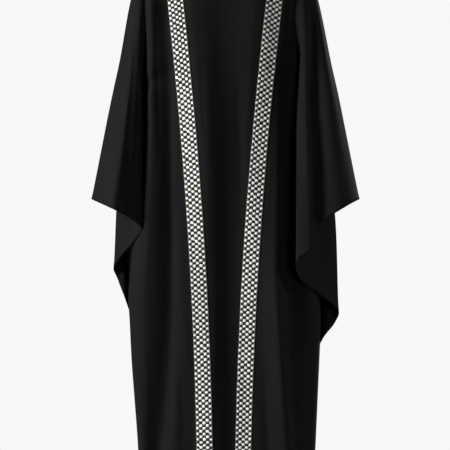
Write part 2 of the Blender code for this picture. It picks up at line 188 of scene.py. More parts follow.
# Sleeves: the fold lines that a ring passes, at the elbow and at the hem.
# x is measured outward from the middle of the body.
SleeveLine = namedtuple("SleeveLine", "name share elbow_x elbow_y elbow_z hem_x hem_y hem_z")
SLEEVE_LINES = {
    "left": table(
        SleeveLine,
        ("outer edge", 0.00, 0.269, 0.000, -0.312, 0.3325, -0.008, -0.6275),
        ("front crest", 0.10, 0.247, -0.094, -0.350, 0.283, -0.132, -0.650),
        ("front slope", 0.17, 0.226, -0.106, -0.392, 0.248, -0.121, -0.668),
        ("inner fold", 0.24, 0.2045, -0.094, -0.435, 0.2075, -0.102, -0.700),
        ("inner fold back", 0.295, 0.212, -0.070, -0.455, 0.219, -0.080, -0.724),
        ("outer fold", 0.41, 0.258, -0.026, -0.510, 0.277, 0.002, -0.798),
        ("outer fold back", 0.445, 0.253, -0.003, -0.5535, 0.268, 0.018, -0.830),
        ("underarm front", 0.475, 0.2380, 0.024, -0.597, 0.2460, 0.020, -0.888),
        ("underarm", 0.50, 0.229, 0.046, -0.612, 0.231, 0.066, -0.932),
        ("back outer fold", 0.59, 0.257, 0.058, -0.510, 0.266, 0.086, -0.785),
        ("back inner fold", 0.72, 0.207, 0.094, -0.458, 0.206, 0.126, -0.756),
        ("back ridge", 0.76, 0.213, 0.112, -0.440, 0.214, 0.146, -0.735),
        ("back crest", 0.87, 0.252, 0.092, -0.360, 0.272, 0.124, -0.645),
    ),
    "right": table(
        SleeveLine,
        ("outer edge", 0.00, 0.269, 0.000, -0.312, 0.3345, -0.010, -0.6275),
        ("front crest", 0.08, 0.258, -0.100, -0.346, 0.296, -0.134, -0.648),
        ("front valley", 0.13, 0.222, -0.104, -0.388, 0.238, -0.130, -0.688),
        ("valley side", 0.17, 0.212, -0.112, -0.412, 0.225, -0.137, -0.730),
        ("fold crest", 0.205, 0.201, -0.127, -0.432, 0.210, -0.152, -0.757),
        ("inner fold front", 0.235, 0.187, -0.122, -0.452, 0.184, -0.146, -0.774),
        ("inner fold", 0.26, 0.177, -0.112, -0.472, 0.175, -0.138, -0.793),
        ("inner fold back", 0.285, 0.187, -0.094, -0.500, 0.188, -0.114, -0.828),
        ("outer fold", 0.41, 0.264, -0.030, -0.590, 0.281, -0.032, -0.905),
        ("outer fold back", 0.445, 0.258, -0.010, -0.621, 0.273, -0.014, -0.938),
        ("underarm front", 0.475, 0.2436, 0.0075, -0.644, 0.2475, -0.010, -0.970),
        ("underarm", 0.50, 0.237, 0.020, -0.650, 0.236, 0.062, -0.994),
        ("back outer fold", 0.59, 0.260, 0.048, -0.560, 0.272, 0.076, -0.872),
        ("back inner fold", 0.72, 0.201, 0.094, -0.478, 0.197, 0.132, -0.810),
        ("back ridge", 0.76, 0.208, 0.113, -0.456, 0.206, 0.152, -0.784),
        ("back crest", 0.87, 0.254, 0.092, -0.362, 0.268, 0.130, -0.648),
    ),
}
SLEEVE_START_OUT_TOP = 0.22
SLEEVE_START_OUT_UNDER = 0.08
SLEEVE_START_FORWARD = 0.22
SLEEVE_START_DOWN_TOP = 0.15
SLEEVE_START_DOWN_UNDER = 0.40
ARMHOLE_OVERLAP = 0.0002

# Short creases of a sleeve: share round it, share along it, widths in shares round it
SleeveCrease = namedtuple("SleeveCrease", "turn_start turn_end along_start along_end half_width deep")
SLEEVE_CREASES = {
    "left": table(
        SleeveCrease,
        (0.045, 0.030, 0.20, 0.98, 0.012, 0.0024),
        (0.135, 0.130, 0.30, 0.99, 0.010, 0.0020),
        (0.195, 0.200, 0.35, 0.90, 0.009, -0.0014),
        (0.945, 0.925, 0.10, 0.80, 0.013, 0.0024),
        (0.815, 0.800, 0.25, 0.98, 0.012, 0.0026),
        (0.905, 0.900, 0.50, 0.99, 0.010, -0.0020),
    ),
    "right": table(
        SleeveCrease,
        (0.040, 0.028, 0.15, 0.96, 0.012, 0.0024),
        (0.100, 0.104, 0.40, 0.99, 0.009, 0.0018),
        (0.965, 0.940, 0.12, 0.86, 0.013, 0.0026),
        (0.820, 0.812, 0.20, 0.97, 0.012, 0.0026),
        (0.900, 0.905, 0.45, 0.99, 0.010, -0.0020),
    ),
}

# Seams dip into the cloth and pucker a little beside the stitches
SEAM_DIP = 0.0009
SEAM_DIP_REACH = 0.0035
PUCKER = 0.00035
PUCKER_REACH = 0.010
PUCKER_PITCH = 0.011
PUCKER_END = 3 * PUCKER_REACH
PUCKER_WANDER = 2.0
PUCKER_WANDER_SCALE = 9.0

# Slow unevenness of hanging cloth
DRIFT = 0.0011
DRIFT_ACROSS = 16.0
DRIFT_DOWN = 3.2
DRIFT_CALM = 0.03
DRIFT_SIDES_APART = 3.0

# Hems and stitches
HEM_WIDTH = 0.020
CUFF_WIDTH = 0.014
NECK_TURN = 0.008
HEM_STEP = 0.002
STITCH_PITCH = 0.0032
STITCH_LENGTH = 0.0024
STITCH_RADIUS = 0.00022
STITCH_SIDES = 4
STITCH_INSET = 0.002
RIBBON_STITCH_INSET = 0.03
SHORTEST_STEP = 1e-9

# Dots of a trim band, in five columns that stand half a step apart in turn
DOT_COLUMNS = 5
DOT_COLUMN_PITCH = 0.0081
DOT_ROW_PITCH = 0.0136
DOT_ROW_LEAN = 1.5
DOT_LEAN = 0.25
DOT_HALF_ACROSS = 0.0043
DOT_HALF_DOWN = 0.0036
DOT_HEIGHT = 0.0015
DOT_SINK = 0.0002
DOT_WIDEST = 1.15
DOT_SEGMENTS = 12
DOT_END_MARGIN = 0.005
DOT_SEED = 11
DOT_STRAY_ACROSS = 0.0002
DOT_STRAY_DOWN = 0.0004
DOT_LEAN_SPREAD = 0.2
DOT_OUTER_SHARE = 0.82
DOT_VARY_ACROSS = (0.88, 1.08)
DOT_VARY_DOWN = (0.90, 1.12)
DOT_VARY_HEIGHT = (0.85, 1.1)
DOT_DOME = ((1.0, 0.0), (0.93, 0.45), (0.68, 0.80), (0.34, 0.96))
FLOAT_CHANCE = 0.035
FLOAT_HALF_WIDTH = 0.0015
FLOAT_HEIGHT = DOT_HEIGHT * 0.8
THREAD_HALF_WIDTH = 0.0011
THREAD_HEIGHT = 0.0003
THREAD_SECTION = ((-1.0, 0.0), (-0.5, 0.85), (0.5, 0.85), (1.0, 0.0))
BAND_EDGE_INSET = 0.0012

# How finely a band's own surface is measured
STRIP_STEPS = 1600
STRIP_START = 0.02
STRIP_PROBE = 0.002


def hermite(start, start_slope, end, end_slope, share):
    """Cubic between two values with a given slope at each end."""
    s2 = share * share
    s3 = s2 * share
    return (
        start * (2 * s3 - 3 * s2 + 1)
        + start_slope * (s3 - 2 * s2 + share)
        + end * (3 * s2 - 2 * s3)
        + end_slope * (s3 - s2)
    )


def smooth(places, values, at):
    """Smooth curve through values that stand at rising places."""
    if at <= places[0]:
        return values[0]
    if at >= places[-1]:
        return values[-1]
    low = bisect_right(places, at) - 1
    span = places[low + 1] - places[low]

    def slope(i):
        before = max(i - 1, 0)
        after = min(i + 1, len(places) - 1)
        return (values[after] - values[before]) / (places[after] - places[before])

    share = (at - places[low]) / span
    return hermite(values[low], slope(low) * span, values[low + 1], slope(low + 1) * span, share)


def ease(start, end, at):
    """0 before start, 1 after end, smooth between them."""
    share = min(max((at - start) / (end - start), 0.0), 1.0)
    return share * share * (3 - 2 * share)


GIRTH_DROPS, GIRTH_LEFT, GIRTH_RIGHT = zip(*GIRTHS)
ARMHOLE_DROPS, ARMHOLE_FORWARD, ARMHOLE_BACKWARD = zip(*ARMHOLES)


def fold_curves(folds):
    """Each fold with its place and depth at the four levels."""
    return [
        (
            fold,
            (
                Vector((fold.top, fold.deep_top)),
                Vector((fold.upper, fold.deep_upper)),
                Vector((fold.lower, fold.deep_lower)),
                Vector((fold.hem, fold.deep_hem)),
            ),
        )
        for fold in folds
    ]


FRONT_CURVES = fold_curves(FRONT_FOLDS)
BACK_CURVES = fold_curves(BACK_FOLDS)


def side_wrap(drop):
    """0 beside the armhole, 1 where the panel wraps round to the side seam."""
    return ease(WRAP_START, WRAP_END, drop)


def half_width(side_sign, drop):
    """Distance of the side seam or armhole edge from the middle."""
    return smooth(GIRTH_DROPS, GIRTH_LEFT if side_sign < 0 else GIRTH_RIGHT, drop)


def armhole_depth(facing, drop):
    """Distance of the panel's side edge from the shoulder line; facing is -1 at the front."""
    depths = ARMHOLE_FORWARD if facing < 0 else ARMHOLE_BACKWARD
    return max(smooth(ARMHOLE_DROPS, depths, drop), 0.0) + SEAM_HALF_GAP


def ridge_drop(x):
    """Drop of the shoulder line above a place on the panel."""
    beyond = (abs(x) - NECK_HALF) / (SHOULDER_HALF - NECK_HALF)
    return SHOULDER_DROP * min(max(beyond, 0.0), 1.0)


def top_drop(facing, x):
    """Drop of a panel's upper edge: the neck curve, then the shoulder seam."""
    if abs(x) >= NECK_HALF - NECK_TOLERANCE:
        return ridge_drop(x)
    hang = FRONT_HANG if facing < 0 else BACK_HANG
    deepest = NECK_FORWARD if facing < 0 else NECK_BACKWARD
    depth = deepest * math.sqrt(1 - (x / NECK_HALF) ** 2)
    return hang.reach * (1 - math.sqrt(1 - (depth / hang.chest) ** 2))


def hang_depth(facing, below):
    """Depth of the middle of a panel, at a distance below the shoulder line."""
    hang = FRONT_HANG if facing < 0 else BACK_HANG
    if below < hang.reach:
        share = 1 - below / hang.reach
        return hang.chest * math.sqrt(max(1 - share * share, 0.0))
    opened = ease(hang.reach, HANG_FULLY_OPEN, below)
    opened_at_hem = ease(hang.reach, HANG_FULLY_OPEN, LENGTH)
    return hang.chest + (hang.hem - hang.chest) * opened / opened_at_hem


def fold_depth(facing, x, drop):
    """How far the long folds draw the panel in at a place."""
    depth = 0.0
    for fold, curve in FRONT_CURVES if facing < 0 else BACK_CURVES:
        middle, deep = smooth(FOLD_PLACES, curve, drop)
        away = math.hypot(x - middle, FOLD_ROUND) - FOLD_ROUND
        off = away / (fold.left if x < middle else fold.right)
        if off < FOLD_REACH:
            depth += deep * math.exp(-(off**fold.power))
    return depth * ease(FOLD_FADE_START, FOLD_FADE_END, drop)


def crease_depth(facing, x, drop):
    """How far the short creases draw the panel in at a place."""
    depth = 0.0
    for crease in FRONT_CREASES if facing < 0 else BACK_CREASES:
        share = (drop - crease.drop_start) / (crease.drop_end - crease.drop_start)
        if 0 < share < 1:
            middle = crease.x_start + (crease.x_end - crease.x_start) * share
            fade = math.sin(math.pi * share)
            depth += crease.deep * fade * math.exp(-(((x - middle) / crease.half_width) ** 2))
    return depth


def panel_point(facing, x, drop):
    """Point of the front (facing -1) or back (facing 1) sheet."""
    width = half_width(-1 if x < 0 else 1, drop)
    share = min(abs(x) / width, 1.0)
    below = max(drop - ridge_drop(x), 0.0)
    side = armhole_depth(facing, SHOULDER_DROP + below)
    power = FRONT_SECTION if facing < 0 else BACK_SECTION
    flat = 1 - share**CHEST_SECTION
    round_ = (1 - share**power) ** (1 / power)
    shape = flat + (round_ - flat) * side_wrap(drop)
    depth = max(hang_depth(facing, below), SEAM_HALF_GAP)
    depth = side + (depth - side) * shape if depth > side else depth + (side - depth) * (1 - shape)
    drawn_in = fold_depth(facing, x, drop) + crease_depth(facing, x, drop)
    drift = DRIFT * noise.noise(Vector((x * DRIFT_ACROSS, drop * DRIFT_DOWN, facing * DRIFT_SIDES_APART)))
    drift *= ease(0.0, DRIFT_CALM, below)
    depth -= (drawn_in + drift) * (1 - share**SEAM_CALM)
    return Vector((x, facing * depth, -drop))


def band_middle(side, drop):
    """x of a trim band's middle line."""
    line = BAND_LINES[side]
    return line.start + line.slope * drop + line.bend * drop * drop


def band_slope(side, drop):
    """How far a trim band's middle line moves across for its fall."""
    line = BAND_LINES[side]
    return line.slope + 2 * line.bend * drop


def outer_column(width, start, end, share, drop):
    """x of a column between two places: even beside the armhole, evenly turned below it."""
    even = start + (end - start) * share
    first = math.asin(start / width)
    last = math.asin(end / width)
    turned = width * math.sin(first + (last - first) * share)
    return even + (turned - even) * side_wrap(drop)


def front_columns(drop):
    """x of every column of the front, from left to right.

    The columns follow the edges of the two bands, and one on each side
    follows the corner of the neck.
    """
    half_band = BAND_WIDTH / 2
    left_out = band_middle("left", drop) - half_band
    left_in = band_middle("left", drop) + half_band
    right_in = band_middle("right", drop) - half_band
    right_out = band_middle("right", drop) + half_band
    neck_share = NECK_HALF / (band_middle("right", 0.0) - half_band)
    neck_left = (left_in + right_in) / 2 - (right_in - left_in) / 2 * neck_share
    neck_right = (left_in + right_in) / 2 + (right_in - left_in) / 2 * neck_share
    outer = range(OUTER_COLUMNS)
    band = range(BAND_COLUMNS)
    width = half_width(-1, drop)
    places = [outer_column(width, -width, left_out, i / OUTER_COLUMNS, drop) for i in outer]
    places += [left_out + BAND_WIDTH * i / BAND_COLUMNS for i in band]
    places.append(left_in)
    places += [neck_left + (neck_right - neck_left) * i / NECK_COLUMNS for i in range(NECK_COLUMNS + 1)]
    places.append(right_in)
    places += [right_in + BAND_WIDTH * (i + 1) / BAND_COLUMNS for i in band]
    width = half_width(1, drop)
    places += [outer_column(width, right_out, width, (i + 1) / OUTER_COLUMNS, drop) for i in outer]
    return places


def back_columns(drop):
    """x of every column of the back, evenly turned about the body."""
    places = []
    for i in range(BACK_COLUMNS + 1):
        turn = -math.pi / 2 + math.pi * i / BACK_COLUMNS
        places.append(half_width(math.sin(turn), drop) * math.sin(turn))
    return places


def panel_rows(facing):
    """Rows of points of a body sheet, from its upper edge to the hem."""
    columns = front_columns if facing < 0 else back_columns
    # A column's x depends on its drop, so its upper end is found in rounds
    tops = [0.0] * len(columns(0.0))
    for _ in range(TOP_EDGE_ROUNDS):
        tops = [top_drop(facing, columns(drop)[i]) for i, drop in enumerate(tops)]
    top_columns = {}
    rows = []
    for j in range(BODY_ROWS + 1):
        share = (j / BODY_ROWS) ** ROW_EASE
        row = []
        for i, top in enumerate(tops):
            drop = top + (LENGTH - top) * share
            key = round(drop, 7)
            if key not in top_columns:
                top_columns[key] = columns(drop)
            row.append(panel_point(facing, top_columns[key][i], drop))
        rows.append(row)
    return rows


def armhole_ring(sign, front_rows, back_rows):
    """Edge of the armhole from the shoulder down the front and up the back."""
    edge = 0 if sign < 0 else -1
    front = [front_rows[j][edge] for j in range(ARMHOLE_ROWS + 1)]
    back = [back_rows[j][edge] for j in range(ARMHOLE_ROWS + 1)]
    under = (front[-1] + back[-1]) / 2
    top = (front[0] + back[0]) / 2
    corners = [top] + front[1:-1] + [under] + back[-2:0:-1] + [top]
    ring = []
    for i in range(SLEEVE_COLUMNS):
        at = i / SLEEVE_COLUMNS * (len(corners) - 1)
        low = int(at)
        point = corners[low].lerp(corners[low + 1], at - low)
        ring.append(point - Vector((sign * ARMHOLE_OVERLAP, 0.0, 0.0)))
    return ring


def line_ring(sign, lines, station):
    """Smooth closed ring through the fold lines at one station of a sleeve."""
    points = []
    shares = []
    for lap in (-1, 0, 1):
        for line in lines:
            x, y, z = (getattr(line, station + axis) for axis in ("_x", "_y", "_z"))
            points.append(Vector((sign * x, y, z)))
            shares.append(line.share + lap)
    return [smooth(shares, points, i / SLEEVE_COLUMNS) for i in range(SLEEVE_COLUMNS)]


def sleeve_rows(side, front_rows, back_rows):
    """Rows of points round a sleeve, from the armhole to the hem."""
    sign = -1 if side == "left" else 1
    armhole = armhole_ring(sign, front_rows, back_rows)
    elbow = line_ring(sign, SLEEVE_LINES[side], "elbow")
    hem = line_ring(sign, SLEEVE_LINES[side], "hem")
    rows = []
    for j in range(SLEEVE_ROWS + 1):
        share = j / SLEEVE_ROWS
        row = []
        for i in range(SLEEVE_COLUMNS):
            turn = 2 * math.pi * i / SLEEVE_COLUMNS
            under = math.sin(turn / 2) ** 2
            start = Vector((
                sign * (SLEEVE_START_OUT_TOP * (1 - under) + SLEEVE_START_OUT_UNDER * under),
                -SLEEVE_START_FORWARD * math.sin(turn),
                -SLEEVE_START_DOWN_TOP * (1 - under) - SLEEVE_START_DOWN_UNDER * under,
            ))
            through = hem[i] - armhole[i]
            if share < 0.5:
                point = hermite(armhole[i], start / 2, elbow[i], through / 2, share * 2)
            else:
                point = hermite(elbow[i], through / 2, hem[i], hem[i] - elbow[i], share * 2 - 1)
            row.append(point)
        rows.append(row if sign > 0 else row[::-1])
    return rows


def sheet_normals(rows, closed=False):
    """Normal at each point of a grid, on the side that the rows and columns turn to."""
    normals = []
    count = len(rows[0])
    for j, row in enumerate(rows):
        above = rows[max(j - 1, 0)]
        below = rows[min(j + 1, len(rows) - 1)]
        line = []
        for i in range(count):
            after = (i + 1) % count if closed else min(i + 1, count - 1)
            before = (i - 1) % count if closed else max(i - 1, 0)
            across = row[after] - row[before]
            line.append((below[i] - above[i]).cross(across).normalized())
        normals.append(line)
    return normals


def distances_down(rows):
    """Distance of each point from the top row, along its column."""
    result = [[0.0] * len(rows[0])]
    for j in range(1, len(rows)):
        result.append([result[-1][i] + (rows[j][i] - rows[j - 1][i]).length for i in range(len(rows[0]))])
    return result


def distances_across(row):
    """Distance of each point of a row from its first point."""
    result = [0.0]
    for i in range(1, len(row)):
        result.append(result[-1] + (row[i] - row[i - 1]).length)
    return result


def seam_offset(distance, along):
    """Dip and pucker beside a seam."""
    dip = -SEAM_DIP * math.exp(-((distance / SEAM_DIP_REACH) ** 2))
    wander = PUCKER_WANDER * noise.noise(Vector((along * PUCKER_WANDER_SCALE, 0.0, 0.0)))
    wave = math.sin(2 * math.pi * along / PUCKER_PITCH + wander)
    return dip + PUCKER * wave * math.exp(-((distance / PUCKER_REACH) ** 2))


def hem_thickness(distance, width):
    """Extra thickness of a turned hem, with a small step where its stitches lie."""
    return HEM_EXTRA * (1 - ease(width, width + HEM_STEP, distance))


def shell_object(name, rows, normals, thickness, closed, flip):
    """Closed thin shell about a sheet: outer side, inner side and rims, with cloth UVs in metres."""
    count = len(rows[0])
    last = len(rows) - 1
    vertices = []
    for sign in (0.5, -0.5):
        for j, row in enumerate(rows):
            vertices += [row[i] + normals[j][i] * (sign * thickness[j][i]) for i in range(count)]
    layer = count * len(rows)
    down = distances_down(rows)
    across = [distances_across(row + row[:1] if closed else row) for row in rows]
    faces = []
    uvs = []

    def face(corners, cells):
        order = range(3, -1, -1) if flip else range(4)
        faces.append([corners[k] for k in order])
        for k in order:
            j, i = cells[k]
            uvs.append((across[j][i], down[j][i % count]))

    for j in range(last):
        for i in range(count if closed else count - 1):
            k = (i + 1) % count
            cells = ((j, i), (j + 1, i), (j + 1, i + 1), (j, i + 1))
            corners = (j * count + i, (j + 1) * count + i, (j + 1) * count + k, j * count + k)
            face(corners, cells)
            face([layer + c for c in corners[::-1]], cells[::-1])
    for j in (0, last):
        for i in range(count if closed else count - 1):
            k = (i + 1) % count
            a, b = j * count + i, j * count + k
            corners = (a, b, layer + b, layer + a)
            cells = ((j, i), (j, i + 1), (j, i + 1), (j, i))
            way = 1 if j == 0 else -1
            face(corners[::way], cells[::way])
    if not closed:
        for i in (0, count - 1):
            for j in range(last):
                a, b = j * count + i, (j + 1) * count + i
                corners = (a, layer + a, layer + b, b)
                cells = ((j, i), (j, i), (j + 1, i), (j + 1, i))
                way = 1 if i == 0 else -1
                face(corners[::way], cells[::way])
    return mesh_object(name, vertices, faces, uvs)


def add_object(name, data):
    """New object in the scene."""
    item = bpy.data.objects.new(name, data)
    bpy.context.scene.collection.objects.link(item)
    return item


def mesh_object(name, vertices, faces, uvs=None):
    """Smooth-shaded object from lists of points, faces and corner UVs."""
    mesh = bpy.data.meshes.new(name)
    mesh.from_pydata([tuple(v) for v in vertices], [], faces)
    if uvs:
        layer = mesh.uv_layers.new(name="cloth")
        layer.data.foreach_set("uv", [c for uv in uvs for c in uv])
    mesh.shade_smooth()
    mesh.update()
    return add_object(name, mesh)


def body_shell(name, facing, rows):
    """Shell of the front or back with seams at its sides and shoulders, a turned neck and a hem."""
    normals = sheet_normals(rows)
    if facing > 0:
        normals = [[-n for n in line] for line in normals]
    down = distances_down(rows)
    thickness = []
    for j, row in enumerate(rows):
        across = distances_across(row)
        line = []
        for i, point in enumerate(row):
            side = min(across[i], across[-1] - across[i])
            shift = seam_offset(side, down[j][i])
            extra = hem_thickness(down[-1][i] - down[j][i], HEM_WIDTH)
            if abs(rows[0][i].x) >= NECK_HALF - NECK_TOLERANCE:
                shift += seam_offset(down[j][i], rows[0][i].x)
            else:
                extra += hem_thickness(down[j][i], NECK_TURN)
            row[i] = point + normals[j][i] * shift
            line.append(CREPE + extra)
        thickness.append(line)
    item = shell_object(name, rows, normals, thickness, False, facing > 0)
    return item, rows, normals


def sleeve_shell(name, side, rows):
    """Shell of a sleeve with its armhole seam and a cuff hem."""
    normals = sheet_normals(rows, closed=True)
    down = distances_down(rows)
    count = len(rows[0])
    thickness = []
    for j, row in enumerate(rows):
        along = j / SLEEVE_ROWS
        around = distances_across(row)
        line = []
        shifted = []
        for i in range(count):
            turn = (i if side == "right" else count - 1 - i) / count
            shift = seam_offset(down[j][i], around[i]) if down[j][i] < PUCKER_END else 0.0
            for crease in SLEEVE_CREASES[side]:
                share = (along - crease.along_start) / (crease.along_end - crease.along_start)
                if 0 < share < 1:
                    middle = crease.turn_start + (crease.turn_end - crease.turn_start) * share
                    off = abs(turn - middle)
                    off = min(off, 1 - off) / crease.half_width
                    shift -= crease.deep * math.sin(math.pi * share) * math.exp(-off * off)
            line.append(CREPE + hem_thickness(down[-1][i] - down[j][i], CUFF_WIDTH))
            shifted.append(row[i] + normals[j][i] * shift)
        rows[j] = shifted
        thickness.append(line)
    item = shell_object(name, rows, normals, thickness, True, False)
    return item, rows, normals


def line_from_edge(rows, normals, distance, from_top, columns):
    """Points and normals along a line at a distance from the top or bottom edge of a sheet."""
    points = []
    outs = []
    order = list(range(len(rows))) if from_top else list(range(len(rows) - 1, -1, -1))
    for i in columns:
        walked = 0.0
        for a, b in zip(order, order[1:]):
            step = (rows[b][i] - rows[a][i]).length
            if walked + step >= distance:
                share = (distance - walked) / step
                points.append(rows[a][i].lerp(rows[b][i], share))
                outs.append(normals[a][i].lerp(normals[b][i], share).normalized())
                break
            walked += step
    return points, outs


def stitch_line(vertices, faces, points, outs, lift, closed=False):
    """Adds a row of small stitches along a line of points, as slim spindles."""
    if closed:
        points = points + points[:1]
        outs = outs + outs[:1]
    walked = 0.0
    following = STITCH_PITCH / 2
    for a, b, out in zip(points, points[1:], outs):
        step = (b - a).length
        if step < SHORTEST_STEP:
            continue
        ahead = (b - a) / step
        sideways = ahead.cross(out).normalized()
        while following <= walked + step:
            middle = a + ahead * (following - walked) + out * lift
            base = len(vertices)
            vertices += [middle - ahead * STITCH_LENGTH / 2, middle + ahead * STITCH_LENGTH / 2]
            for angle in range(STITCH_SIDES):
                turn = math.pi / 4 + math.pi / 2 * angle
                spoke = sideways * math.cos(turn) + out * math.sin(turn)
                vertices.append(middle + spoke * STITCH_RADIUS)
            for k in range(STITCH_SIDES):
                one, two = base + 2 + k, base + 2 + (k + 1) % STITCH_SIDES
                faces.append((base, two, one))
                faces.append((base + 1, one, two))
            following += STITCH_PITCH
        walked += step


class Strip:
    """A trim band's own surface: a place across and a distance down give a point and its directions."""

    def __init__(self, side):
        self.side = side
        self.drops = []
        self.lengths = []
        top = ridge_drop(band_middle(side, STRIP_START))
        last = None
        for k in range(STRIP_STEPS + 1):
            drop = top + (LENGTH - top) * k / STRIP_STEPS
            point = panel_point(-1, band_middle(side, drop), drop)
            self.lengths.append(0.0 if last is None else self.lengths[-1] + (point - last).length)
            self.drops.append(drop)
            last = point
        self.length = self.lengths[-1]

    def drop_at(self, down):
        """Drop of the place at a distance down the band."""
        low = min(bisect_right(self.lengths, down) - 1, STRIP_STEPS - 1)
        span = self.lengths[low + 1] - self.lengths[low]
        share = (down - self.lengths[low]) / span
        return self.drops[low] + (self.drops[low + 1] - self.drops[low]) * share

    def place(self, across, down):
        """Point on the cloth, then the directions across, down and out."""
        drop = self.drop_at(min(max(down, 0.0), self.length))
        x = band_middle(self.side, drop) + across
        point = panel_point(-1, x, drop)
        step = STRIP_PROBE
        right = (panel_point(-1, x + step, drop) - panel_point(-1, x - step, drop)).normalized()
        slope = (band_middle(self.side, drop + step) - band_middle(self.side, drop - step)) / 2
        low = panel_point(-1, x + slope, drop + step)
        high = panel_point(-1, x - slope, drop - step)
        ahead = (low - high).normalized()
        out = ahead.cross(right).normalized()
        return point, right, ahead, out

    def covers(self, across, down):
        """Whether a place lies below the shoulder seam and above the hem."""
        if not DOT_END_MARGIN < down < self.length - DOT_END_MARGIN:
            return False
        drop = self.drop_at(down)
        x = band_middle(self.side, drop) + across
        return drop > ridge_drop(x) + DOT_END_MARGIN


def add_dot(vertices, faces, centre, right, ahead, out, half_across, half_down, height):
    """Adds one raised dot: a low oval dome, closed below."""
    base = len(vertices)
    for radius, rise in DOT_DOME:
        for k in range(DOT_SEGMENTS):
            angle = 2 * math.pi * k / DOT_SEGMENTS
            vertices.append(
                centre
                + right * (half_across * radius * math.cos(angle))
                + ahead * (half_down * radius * math.sin(angle))
                + out * (height * rise)
            )
    vertices.append(centre + out * height)
    top = len(vertices) - 1
    for ring in range(len(DOT_DOME) - 1):
        for k in range(DOT_SEGMENTS):
            a = base + ring * DOT_SEGMENTS + k
            b = base + ring * DOT_SEGMENTS + (k + 1) % DOT_SEGMENTS
            faces.append((a, a + DOT_SEGMENTS, b + DOT_SEGMENTS, b))
    ring = base + (len(DOT_DOME) - 1) * DOT_SEGMENTS
    for k in range(DOT_SEGMENTS):
        faces.append((ring + k, top, ring + (k + 1) % DOT_SEGMENTS))
    faces.append([base + k for k in range(DOT_SEGMENTS)])


def add_thread(vertices, faces, start, end, start_out, end_out):
    """Adds one low ridge of thread between two places."""
    ahead = (end - start).normalized()
    base = len(vertices)
    for point, out in ((start, start_out), (end, end_out)):
        sideways = ahead.cross(out).normalized()
        for across, rise in THREAD_SECTION:
            side_step = sideways * (THREAD_HALF_WIDTH * across)
            vertices.append(point + side_step + out * (THREAD_HEIGHT * rise))
    for k in range(4):
        following = (k + 1) % 4
        faces.append((base + k, base + following, base + 4 + following, base + 4 + k))
    faces.append((base + 3, base + 2, base + 1, base))
    faces.append((base + 4, base + 5, base + 6, base + 7))


def band_pieces(side):
    """The dots and the lattice threads of one trim band."""
    strip = Strip(side)
    chance = random.Random(DOT_SEED if side == "left" else DOT_SEED + 1)
    lift = CREPE / 2 + RIBBON_GAP + RIBBON
    dots = ([], [])
    threads = ([], [])
    places = {}
    columns = range(-(DOT_COLUMNS // 2), DOT_COLUMNS // 2 + 1)
    count = int(strip.length / DOT_ROW_PITCH) + 2
    for row in range(count):
        for column in columns:
            across = column * DOT_COLUMN_PITCH + chance.gauss(0, DOT_STRAY_ACROSS)
            down = (row + (0.5 if column % 2 else 0.0)) * DOT_ROW_PITCH
            down += chance.gauss(0, DOT_STRAY_DOWN)
            # Rows stand square to the band, which leans as it falls
            down -= across * band_slope(side, strip.drop_at(max(down, 0.0))) * DOT_ROW_LEAN
            if strip.covers(across, down):
                point, right, ahead, out = strip.place(across, down)
                places[row, column] = (point + out * lift, right, ahead, out, down)
    for (_, column), (point, right, ahead, out, _) in places.items():
        turn = chance.gauss(math.copysign(DOT_LEAN, -BAND_LINES[side].slope), DOT_LEAN_SPREAD)
        long = right * math.cos(turn) + ahead * math.sin(turn)
        short = ahead * math.cos(turn) - right * math.sin(turn)
        edge = DOT_OUTER_SHARE if abs(column) == DOT_COLUMNS // 2 else 1.0
        # Columns are spaced by x, so dots widen with them where the cloth turns away
        edge *= min(1 / right.x, DOT_WIDEST)
        add_dot(
            *dots,
            point - out * DOT_SINK,
            long,
            short,
            out,
            DOT_HALF_ACROSS * edge * chance.uniform(*DOT_VARY_ACROSS),
            DOT_HALF_DOWN * chance.uniform(*DOT_VARY_DOWN),
            DOT_HEIGHT * chance.uniform(*DOT_VARY_HEIGHT),
        )
    for (row, column), (point, _, _, out, down) in places.items():
        for step in (-1, 1):
            following = (row + (1 if column % 2 else 0), column + step)
            if following in places:
                other = places[following]
                add_thread(*threads, point, other[0], out, other[3])
                if step > 0 and chance.random() < FLOAT_CHANCE:
                    middle = (point + other[0]) / 2
                    slant = (other[0] - point).normalized()
                    wide = slant.cross(out).normalized()
                    reach = (other[0] - point).length / 2
                    add_dot(*dots, middle, slant, -wide, out, reach, FLOAT_HALF_WIDTH, FLOAT_HEIGHT)
        if abs(column) == DOT_COLUMNS // 2:
            edge = math.copysign(BAND_WIDTH / 2 - BAND_EDGE_INSET, column)
            for half_row in (-0.5, 0.5):
                beyond = down + half_row * DOT_ROW_PITCH
                if strip.covers(edge, beyond):
                    corner, _, _, corner_out = strip.place(edge, beyond)
                    corner = corner + corner_out * lift
                    add_thread(*threads, point, corner, out, corner_out)
    return mesh_object("dots_" + side, *dots), mesh_object("lattice_" + side, *threads)


def ribbon_shell(side, front_rows, front_normals):
    """Ribbon of one trim band, made from the front's points moved out, a little thicker at its edges."""
    start = OUTER_COLUMNS if side == "left" else OUTER_COLUMNS + BAND_COLUMNS + NECK_COLUMNS + 2
    out = CREPE / 2 + RIBBON_GAP + RIBBON / 2
    columns = range(start, start + BAND_COLUMNS + 1)
    rows = [[front_rows[j][i] + front_normals[j][i] * out for i in columns] for j in range(len(front_rows))]
    normals = [[front_normals[j][i] for i in columns] for j in range(len(front_rows))]
    edges = (0, BAND_COLUMNS)
    line = [RIBBON * (RIBBON_EDGE_SHARE if i in edges else 1.0) for i in range(BAND_COLUMNS + 1)]
    thickness = [line for _ in rows]
    item = shell_object("ribbon_" + side, rows, normals, thickness, False, False)
    return item, rows, normals


